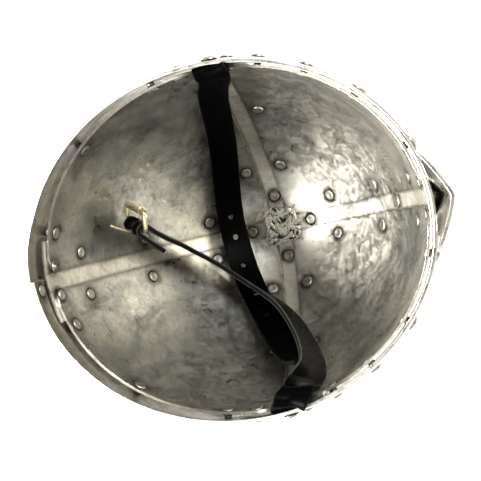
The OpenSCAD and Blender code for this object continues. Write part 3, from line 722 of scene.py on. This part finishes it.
def lathe(profile, seed, turns=28):
    """A hammered body of revolution: profile rows are (radius, height, material)."""
    rng = np.random.default_rng(seed)
    wobble = rng.uniform(0, 2 * np.pi, 3)
    around = np.linspace(0, 2 * np.pi, turns, endpoint=False)
    verts, faces, index = [], [], []
    for r, h, _ in profile:
        beat = 1 + 0.018 * np.sin(2 * around + wobble[0]) + 0.012 * np.sin(3 * around + wobble[1])
        tilt = 0.05 * r * np.sin(around + wobble[2]) * (1 if h > 0.2 else 0.25)
        verts += [(r * b * math.cos(a), r * b * math.sin(a), h + 0.3 * t)
                  for a, b, t in zip(around, beat, tilt)]
    for k in range(len(profile) - 1):
        for j in range(turns):
            n = (j + 1) % turns
            faces.append((k * turns + j, k * turns + n, (k + 1) * turns + n, (k + 1) * turns + j))
            index.append(profile[k][2])
    faces.append(tuple(range(turns)))
    index.append(profile[0][2])
    last = (len(profile) - 1) * turns
    faces.append(tuple(last + j for j in range(turns - 1, -1, -1)))
    index.append(profile[-1][2])
    return np.array(verts), faces, index


def rivet_profile(top, bottom, radius, head_h, set_r, set_h):
    """From the crest of the outside head, round its dome, down the shank to the flat set head inside."""
    rise = np.radians([4, 15, 30, 45, 60, 74, 86])
    dome = [(radius * math.sin(a), top - head_h + head_h * math.cos(a), 0) for a in rise]
    bearing, inside = top - head_h, bottom + set_h
    # Rows marked 2 make a near-black ring round the set head inside: partly oxide, partly painted shade in the
    # gap round the head.
    return [*dome, (radius, bearing + 0.05, 0), (radius * 0.9, bearing - 0.1, 0), (SHANK_R, bearing - 0.1, 0),
            (SHANK_R, inside, 2), (set_r * 0.99, inside - 0.02, 2), (set_r + 1.1, inside + 0.08, 2),
            (set_r + 1.0, inside - 0.14, 2), (set_r + 0.2, inside - 0.16, 2), (set_r, inside - 0.3, 1),
            (set_r - 0.1, inside - 0.62, 1),
            (set_r - 0.55, bottom + 0.02, 1), (set_r * 0.55, bottom + 0.18, 1), (0.25, bottom + 0.24, 1)]


def rivets(node, head_h=2.4, set_h=0.9, flat=False):
    """Hammered rivets where the CAD node has its solids."""
    verts, faces, index = [], [], []
    for k, group in enumerate(solids_of(node)):
        centre = (group.min(0) + group.max(0)) / 2
        w = max(0.0, (centre[2] - (RIM - BULGE_FROM)) / BULGE_FROM)
        seat = np.array([centre[0] / (1 - SIDE_BULGE / HALF_X * w * w), centre[1], centre[2]])
        axis = normal_at(seat)
        along = (group - centre) @ axis
        off_axis = np.linalg.norm(group - centre - along[:, None] * axis, axis=1)
        side = np.cross(axis, [0.0, 0.0, 1.0])
        side /= np.linalg.norm(side)
        up = np.cross(axis, side)
        radius = off_axis[along > along.max() - head_h - 0.05].max()
        profile = rivet_profile(along.max(), along.min(), radius, head_h, SET_R, set_h)
        if along.max() - along.min() < 4:
            radius, top = off_axis.max(), along.max()
            profile = [(0.3, top, 0), (radius - 0.3, top, 0), (radius, top - 0.15, 0), (radius, top - 0.35, 0),
                       (SHANK_R, top - 0.4, 0), (SHANK_R, along.min(), 0)]
        v, f, i = lathe(profile, sum(map(ord, node)) + k)
        spot = centre + v[:, 0:1] * side + v[:, 1:2] * up + v[:, 2:3] * axis
        if flat:
            spot[:, 2] = np.maximum(spot[:, 2], 0)
        start = len(verts)
        verts += list(spot)
        faces += [tuple(start + a for a in face) for face in f]
        index += i
    piece = make_object(node + "_heads", verts, faces, [RIVET, RIVET_SET, RING_DIRT_AND_SHADE], index)
    settle(piece, "shell", "rivet_steel", node)


# ---------------------------------------------------------------- straps


def catmull(points, steps):
    pts = np.asarray(points, float)
    out = []
    for i in range(len(pts) - 1):
        a, b, c, d = pts[max(i - 1, 0)], pts[i], pts[i + 1], pts[min(i + 2, len(pts) - 1)]
        for s in range(steps):
            t = s / steps
            square, cube = 2 * a - 5 * b + 4 * c - d, 3 * b - a - 3 * c + d
            out.append(0.5 * (2 * b + (c - a) * t + square * t**2 + cube * t**3))
    return np.array([*out, pts[-1]])


def even(path, reach):
    """Evens out a dense path with a moving average, keeping both ends."""
    out = path.copy()
    for i in range(1, len(path) - 1):
        r = min(reach, i, len(path) - 1 - i)
        out[i] = path[i - r:i + r + 1].mean(0)
    return out


def unit(v):
    return v / np.linalg.norm(v, axis=-1, keepdims=True)


def strap_mesh(name, path, across, halves, thick, materials, plain=0):
    """Sweeps a strap section with lighter corners and cut edges. The first plain steps have black corners."""
    path = np.asarray(path, float)
    ahead = np.vstack([path[1:], path[-1:]]) - np.vstack([path[:1], path[:-1]])
    along = unit(ahead)
    across = unit(across - (across * along).sum(1)[:, None] * along)
    up = np.cross(along, across)
    half_t, corner = thick / 2, 0.5
    arc = [(corner * (1 - math.cos(t)), half_t - corner * (1 - math.sin(t)))
           for t in np.radians([0, 30, 60, 90])]
    crown = np.linspace(-1, 1, 9)[1:-1]
    ring = ([(-1, inset, h) for inset, h in arc] + [(c, 0, half_t + 0.1 * (1 - c * c)) for c in crown]
            + [(1, -inset, h) for inset, h in arc[::-1]] + [(1, 0, 0)]
            + [(1, -inset, -h) for inset, h in arc]
            + [(c, 0, -half_t - 0.06 * (1 - c * c)) for c in crown[::-1]]
            + [(-1, inset, -h) for inset, h in arc[::-1]] + [(-1, 0, 0)])
    kind, n = [], len(ring)
    for k in range(n):
        heights = [abs(ring[k][2]), abs(ring[(k + 1) % n][2])]
        kind.append(0 if min(heights) > half_t - 0.01 else 1 if max(heights) < half_t - corner + 0.01 else 2)
    verts = []
    for p, w, u, half in zip(path, across, up, halves):
        verts += [p + w * (s * half + inset) + u * h for s, inset, h in ring]
    faces, index = [], []
    for i in range(len(path) - 1):
        for k in range(n):
            m = (k + 1) % n
            faces.append((i * n + k, i * n + m, (i + 1) * n + m, (i + 1) * n + k))
            index.append(0 if kind[k] == 2 and i < plain else kind[k])
    last = (len(path) - 1) * n
    faces += [tuple(range(n - 1, -1, -1)), tuple(last + k for k in range(n))]
    index += [1, 1]
    return make_object(name, verts, faces, materials, index)


def cut(obj, cutters):
    """Subtracts closed meshes and applies the result."""
    for c in cutters:
        tool = obj.modifiers.new("cut", "BOOLEAN")
        tool.object, tool.operation, tool.solver = c, "DIFFERENCE", "MANIFOLD"
    bpy.context.view_layer.update()
    done = bpy.data.meshes.new_from_object(obj.evaluated_get(bpy.context.evaluated_depsgraph_get()))
    obj.modifiers.clear()
    obj.data = done
    for c in cutters:
        bpy.data.objects.remove(c)
    return obj


def cylinder(at, axis, r, h, turns=28):
    bm = bmesh.new()
    bmesh.ops.create_cone(bm, cap_ends=True, segments=turns, radius1=r * MM, radius2=r * MM, depth=h * MM)
    mesh = bpy.data.meshes.new("punch")
    bm.to_mesh(mesh)
    bm.free()
    mesh.materials.append(CUT)
    obj = bpy.data.objects.new("punch", mesh)
    bpy.context.scene.collection.objects.link(obj)
    turn = Vector(axis).to_track_quat("Z", "Y").to_matrix().to_4x4()
    obj.matrix_world = Matrix.Translation(Vector(at) * MM) @ turn
    return obj


def anchor_path(sign, y):
    """The middle of the strap where it lies on the inside wall, from its cut end up to the rim."""
    z = RIM - np.array([18.3, 16.5, 14.5, 13, 11.5, 10, 8, 6, 4, 1])
    outer = PLATE_IN - 0.3 + (BAND_IN - PLATE_IN) * smooth((z - (RIM - PLATE_DROP + 3.6)) / 6)
    p = side_point(y + 0 * z, angle_at(z), sign)
    return shaped(p) + (outer - STRAP_T / 2)[:, None] * normal_at(p)


BILLET_PATH = [
    (89.5, -16, 167), (87.5, -11, 150), (85.5, -3.5, 130), (76.5, 6.5, 88), (51.5, 18.5, 43),
    (26, 29, 25.5), (1, 30, 21.5), (-23, 27.5, 27.5), (-42, 20, 41), (-56, 11, 59),
    (-69.5, -0.5, 86), (-78.5, -12, 117)]
BILLET_HOLES = (27.4, 30.3, 34.5, 39.7, 44.8)


def inward_normal(p):
    return -unit(np.stack([p[..., 0] / HALF_X**2, p[..., 1] / HALF_Y**2, (p[..., 2] - RIM) / DEPTH**2], -1))


def billet_strap():
    """The punched strap: up the wall from its rivet, over at the rim and down across the crown."""
    steps = 10
    free = catmull(BILLET_PATH, steps)
    wall = anchor_path(1, STRAP_Y)
    top = (wall[-2] + free[0]) / 2
    top[2] = RIM + 0.2
    fold = catmull([wall[-3], wall[-2], top, free[2] + np.array([0.2, 0, 0.3]), free[4]], 6)
    path = np.vstack([wall[:-3], fold, free[5:]])
    lead = len(path) - len(free[5:])
    ahead = unit(np.vstack([path[1:], path[-1:]]) - np.vstack([path[:1], path[:-1]]))
    flat = np.cross(-inward_normal(path), ahead)
    flat *= np.sign(flat[:, 1:2])
    ease = smooth((np.arange(len(path)) - lead) / 14)[:, None]
    across = flat * ease + np.array([0, 1.0, 0]) * (1 - ease)
    halves = np.full(len(path), STRAP_W / 2)
    left = np.arange(len(path))[::-1] / steps * 5
    near = left < 6
    halves[near] = STRAP_W / 2 * np.sqrt(np.maximum(0.004, 1 - (1 - left[near] / 6) ** 2))
    path[lead + 2:] = even(path[lead + 2:], 9)
    obj = strap_mesh("billet_leather_strap", path, across, halves, STRAP_T, (BLACK, CUT, SOFT_CORNER))
    punches = []
    for h in BILLET_HOLES:
        i = h / 5 * steps
        k = int(i)
        spot = free[k] + (free[min(k + 1, len(free) - 1)] - free[k]) * (i - k)
        punches.append(cylinder(spot, inward_normal(spot), 2.0, 12))
    cut(obj, punches)
    x_wall, x_free = wall[-1][0] - 1.4, free[0][0] + 0.8
    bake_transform(obj, "shell", "billet", (x_wall * MM, 0, 0), (x_free * MM, 0, 0))
    settle(obj, "billet", "billet_leather", "billet_strap", "billet_anchor")


BUCKLE_PATH = [
    (-88, -20.5, 171), (-86.5, -22, 165), (-84, -24.5, 153), (-81, -27, 137), (-75, -21.5, 107),
    (-66, -13, 81), (-56.5, -5.5, 66), (-46.5, 3, 58), (-36, 17, 50), (-26, 29, 44),
    (-14, 41.5, 42), (-3.5, 53, 47), (7, 61, 61), (14.2, 65.5, 78.6), (23.1, 71, 88.8),
]
EDGE_UP = (0.02, -0.27, 0.96)
BUCKLE_UP = [
    (0, 1, 0), (0.1, 0.9, 0.35), (0.28, 0.6, 0.75), (0.25, 0.3, 0.92), (0.2, 0.17, 0.96),
    (0.2, 0.17, 0.96), (0.2, 0.17, 0.96), (0.15, 0, 0.96), EDGE_UP, EDGE_UP,
    EDGE_UP, EDGE_UP, (-0.12, -0.42, 0.88), (-0.37, -0.65, 0.67), (-0.37, -0.65, 0.67)]

SWIVEL = next(j for j in frame["joints"] if j["name"] == "buckle_swivel")
BAR_AT = np.array(SWIVEL["pos_m"]) / MM
BAR_X = unit(np.array(SWIVEL["axis"], float))
ROLLER_AT = np.array(next(j for j in frame["joints"] if j["name"] == "roller_spin")["pos_m"]) / MM
BAR_Y = unit(ROLLER_AT - BAR_AT)
BAR_Z = np.cross(BAR_X, BAR_Y)
BUCKLE_L = float(np.linalg.norm(ROLLER_AT - BAR_AT))
WIRE_R = 1.6
LOOP_MID = WIRE_R + 0.4 + 1.5
RETURN_L = 22.0
STRAP_TURN, PRONG_OPEN, PRONG_PAST = 48.0, 61.0, 5.5


def at_bar(x, y, z, turn=0.0):
    """A point in the buckle's own axes, turned about the bar by this many degrees."""
    c, s = math.cos(math.radians(turn)), math.sin(math.radians(turn))
    return BAR_AT + BAR_X * x + (BAR_Y * c + BAR_Z * s) * y + (BAR_Z * c - BAR_Y * s) * z


def at_loop(x, y, z):
    """The same in the strap's axes: y runs out along the strap, z is on the side of the main layer."""
    return at_bar(-x, y, -z, STRAP_TURN)


def buckle_strap():
    """The strap with the buckle, and its end turned round the bar and back along itself."""
    steps = 10
    free, up = catmull(BUCKLE_PATH, steps), catmull(BUCKLE_UP, steps)
    wall = anchor_path(-1, STRAP_Y)
    top = (wall[-2] + free[0]) / 2
    top[2] = RIM + 1.5
    fold = catmull([wall[-3], wall[-2], top, free[8], free[11]], 7)
    turn = np.radians(np.linspace(80, -90, 14))
    loop = [at_loop(0, LOOP_MID * math.cos(a), LOOP_MID * math.sin(a)) for a in turn]
    back = [at_loop(0, -RETURN_L * t, -LOOP_MID) for t in np.linspace(0.12, 1, 9)]
    path = np.vstack([wall[:-3], fold, free[12:-2], loop, back])
    lead, tail = len(wall) - 3 + len(fold), len(loop) + len(back)
    across = np.vstack([np.tile((0, 1.0, 0), (lead, 1)), up[12:-2], np.tile(BAR_X, (tail, 1))])
    ease = smooth(np.linspace(0, 1, 16))[:, None]
    across[lead - 8: lead + 8] = unit(np.array([0, 1.0, 0]) * (1 - ease) + unit(up[16]) * ease)
    path[lead - 4:-tail] = even(path[lead - 4:-tail], 6)
    obj = strap_mesh("buckle_leather_strap", path, across, np.full(len(path), STRAP_W / 2), STRAP_T,
                     (BLACK, CUT, CORNER), lead + 6)
    slot = box_cutter(at_loop(0, 2, 0), (4.6, 20, 16))
    cut(obj, [slot])
    x_wall, x_free = wall[-1][0] + 1.4, free[0][0] - 1.5
    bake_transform(obj, "shell", "buckle_strap", (x_wall * MM, 0, 0), (x_free * MM, 0, 0))
    settle(obj, "buckle_strap", "strap_leather", "buckle_strap", "buckle_anchor", "buckle_loop")


def box_cutter(at, size):
    bm = bmesh.new()
    bmesh.ops.create_cube(bm, size=1)
    mesh = bpy.data.meshes.new("slot")
    bm.to_mesh(mesh)
    bm.free()
    mesh.materials.append(CUT)
    obj = bpy.data.objects.new("slot", mesh)
    bpy.context.scene.collection.objects.link(obj)
    turn = Matrix([at_loop(*axis) - BAR_AT for axis in ((1, 0, 0), (0, 1, 0), (0, 0, 1))]).transposed().to_4x4()
    scale = Matrix.Diagonal((*(s * MM for s in size), 1))
    obj.matrix_world = Matrix.Translation(Vector(at) * MM) @ turn @ scale
    return obj


# ---------------------------------------------------------------- buckle


def tube(name, path, radii, material, closed=False, turns=20, squash=1.0, turn=0.0):
    """A round wire along a path in the buckle's own axes."""
    path = np.array([at_bar(*p, turn) for p in path])
    n = len(path)
    if closed:
        ahead = np.roll(path, -1, 0) - np.roll(path, 1, 0)
    else:
        ahead = np.vstack([path[1:], path[-1:]]) - np.vstack([path[:1], path[:-1]])
    along = unit(ahead)
    hint = BAR_Z if closed else BAR_X
    side = unit(hint - (along @ hint)[:, None] * along)
    other = np.cross(along, side)
    around = np.linspace(0, 2 * np.pi, turns, endpoint=False)
    verts = []
    for p, s, o, r in zip(path, side, other, radii):
        verts += [p + r * (s * math.cos(a) * squash + o * math.sin(a)) for a in around]
    faces = []
    for i in range(n if closed else n - 1):
        for j in range(turns):
            m, k = (i + 1) % n, (j + 1) % turns
            faces.append((i * turns + j, i * turns + k, m * turns + k, m * turns + j))
    if not closed:
        faces += [tuple(range(turns)), tuple((n - 1) * turns + j for j in range(turns))]
    return make_object(name, verts, faces, [material])


def buckle_frame():
    """Bent wire frame with a butt joint dressed flat."""
    half, corner = 12.0, 3.0
    path = []
    for cx, cy, first in ((half - corner, BUCKLE_L - corner, 0), (corner - half, BUCKLE_L - corner, 90),
                          (corner - half, corner, 180), (half - corner, corner, 270)):
        path += [(cx + corner * math.cos(a), cy + corner * math.sin(a), 0)
                 for a in np.radians(np.linspace(first, first + 90, 9))]
    dense = []
    for a, b in zip(path, path[1:] + path[:1]):
        a, b = np.array(a), np.array(b)
        count = max(1, int(np.linalg.norm(b - a) / 1.5))
        dense += [a + (b - a) * k / count for k in range(count)]
    piece = tube("buckle_wire", dense, [WIRE_R] * len(dense), BUCKLE, closed=True)
    settle(piece, "buckle", "buckle_metal", "buckle_frame")


def buckle_prong():
    """The prong: an eye rolled round the bar and a tapering tongue over the roller."""
    eye = [(0, 2.75 * math.cos(a), 2.75 * math.sin(a)) for a in np.radians(np.linspace(-200, 70, 26))]
    tip = BUCKLE_L + PRONG_PAST
    tongue = [(0, 2.0, 3.3), (0, 4, 3.9), (0, 8, 4.5), (0, BUCKLE_L, 4.75), (0, tip - 1.5, 4.6), (0, tip, 4.4)]
    path = np.vstack([eye, catmull(tongue, 5)[1:]])
    along = np.clip(np.linspace(0, 1.15, len(path)), 0, 1)
    radii = 1.12 - 0.2 * along
    radii[-3:] *= (0.92, 0.75, 0.35)
    settle(tube("buckle_tongue", path, radii, PRONG, turn=PRONG_OPEN), "prong", "prong_metal", "buckle_prong")


def buckle_roller():
    """A rolled tube with its open seam and turned-in ends."""
    half, r = 8.7, 2.7
    gap = math.radians(8)
    around = np.linspace(gap, 2 * np.pi - gap, 44)
    outer = [(-half, r - 0.25), (-half + 0.3, r), (0, r), (half - 0.3, r), (half, r - 0.25)]
    inner = [(half, 1.75), (-half, 1.75)]
    ring = outer[:2] + [(x, r + 0.04) for x in np.linspace(-half + 1, half - 1, 7)] + outer[3:] + inner
    verts, faces, n = [], [], len(ring)
    for a in around:
        verts += [at_bar(x, BUCKLE_L + q * math.sin(a), q * math.cos(a)) for x, q in ring]
    for i in range(len(around) - 1):
        for k in range(n):
            m = (k + 1) % n
            faces.append((i * n + k, i * n + m, (i + 1) * n + m, (i + 1) * n + k))
    last = (len(around) - 1) * n
    faces += [tuple(range(n)), tuple(last + k for k in range(n - 1, -1, -1))]
    piece = make_object("buckle_tube", verts, faces, [ROLLER])
    settle(piece, "roller", "roller_metal", "buckle_roller")


# ---------------------------------------------------------------- scene


def add_camera():
    back, up = Vector((0.0221, -0.2447, 0.9693)).normalized(), Vector((0.9738, -0.2143, -0.0763))
    right = up.cross(back).normalized()
    data = bpy.data.cameras.new("camera")
    data.sensor_width, data.lens = 36, 80
    cam = bpy.data.objects.new("camera", data)
    turn = Matrix([right, back.cross(right), back]).transposed().to_4x4()
    cam.matrix_world = Matrix.Translation((0.0127, -0.1521, 0.7307)) @ turn
    bpy.context.scene.collection.objects.link(cam)
    bpy.context.scene.camera = cam


def area_light(name, at, aim, size, power, colour=(1, 1, 1)):
    data = bpy.data.lights.new(name, "AREA")
    data.shape, data.size, data.size_y, data.energy, data.color = "RECTANGLE", size[0], size[1], power, colour
    light = bpy.data.objects.new(name, data)
    light.location = at
    light.rotation_euler = (Vector(aim) - Vector(at)).to_track_quat("-Z", "Y").to_euler()
    bpy.context.scene.collection.objects.link(light)


def add_floor():
    m, nodes, links, shader = new_material("floor")
    at = coords(nodes, links)
    tone = ramp(nodes, links, noise_node(nodes, links, at, 3), [(0.3, grey(0.64)), (0.7, grey(0.67))])
    links.new(tone, shader.inputs["Base Color"])
    shader.inputs["Roughness"].default_value = 0.9
    mesh = bpy.data.meshes.new("floor")
    s = 4
    mesh.from_pydata([(-s, -s, 0), (s, -s, 0), (s, s, 0), (-s, s, 0)], [], [(0, 1, 2, 3)])
    mesh.materials.append(m)
    floor = bpy.data.objects.new("floor", mesh)
    bpy.context.scene.collection.objects.link(floor)


def add_world():
    """A pale room: broad bright and dim areas for the steel to reflect."""
    world = bpy.data.worlds.new("studio")
    bpy.context.scene.world = world
    world.use_nodes = True
    nodes, links = world.node_tree.nodes, world.node_tree.links
    tex = nodes.new("ShaderNodeTexCoord")
    split = nodes.new("ShaderNodeSeparateXYZ")
    links.new(tex.outputs["Generated"], split.inputs["Vector"])
    areas = noise_node(nodes, links, tex.outputs["Generated"], 2.1, 2, 0.5, 0.6)
    room = ramp(nodes, links, areas, [(0.38, (0.08, 0.085, 0.09)), (0.5, (0.4, 0.4, 0.385)),
                                      (0.62, (1.5, 1.46, 1.36))])
    height = ramp(nodes, links, split.outputs["Z"], [(0.6, grey(1.0)), (0.9, grey(0.75)), (0.985, grey(0.15))])
    seen = nodes.new("ShaderNodeLightPath").outputs["Is Camera Ray"]
    lit = mix(nodes, links, room, height, 1.0, "MULTIPLY")
    links.new(mix(nodes, links, lit, (0.97, 0.97, 0.96), seen), nodes["Background"].inputs["Color"])
    nodes["Background"].inputs["Strength"].default_value = 1.0
    bpy.context.scene.view_settings.view_transform = "Standard"


def main():
    add_camera()
    add_world()
    add_floor()
    area_light("front_right", (0.65, -0.55, 0.95), (-0.02, 0.03, 0.05), (0.4, 0.35), 23, (1, 0.99, 0.95))
    area_light("back", (-0.16, 0.95, 0.95), (0.0, -0.04, 0.05), (0.7, 0.45), 120, (1, 0.97, 0.9))
    area_light("back_left", (-0.75, 0.35, 1.0), (0, 0, 0.05), (0.4, 0.3), 2, (0.94, 0.97, 1))
    area_light("front_left", (-0.8, -0.5, 1.0), (0, 0, 0.05), (0.5, 0.4), 2.5, (1, 0.93, 0.8))
    for name, sx, sy in (("plate_front_right", 1, -1), ("plate_front_left", -1, -1),
                         ("plate_back_right", 1, 1), ("plate_back_left", -1, 1)):
        plate(name, sx, sy)
    spangen_long("spangen_front", -1)
    spangen_long("spangen_back", 1)
    spangen_side("spangen_right", 1)
    spangen_side("spangen_left", -1)
    brow_band()
    apex_cap()
    apex_weld()
    nasal()
    for node in PLAIN_RIVETS:
        rivets(node)
    rivets("apex_rivets", flat=True)
    rivets("lap_rivet", head_h=2)
    rivets("billet_rivet", head_h=2.6)
    rivets("buckle_rivet", head_h=2.6)
    billet_strap()
    buckle_strap()
    buckle_frame()
    buckle_prong()
    buckle_roller()


main()
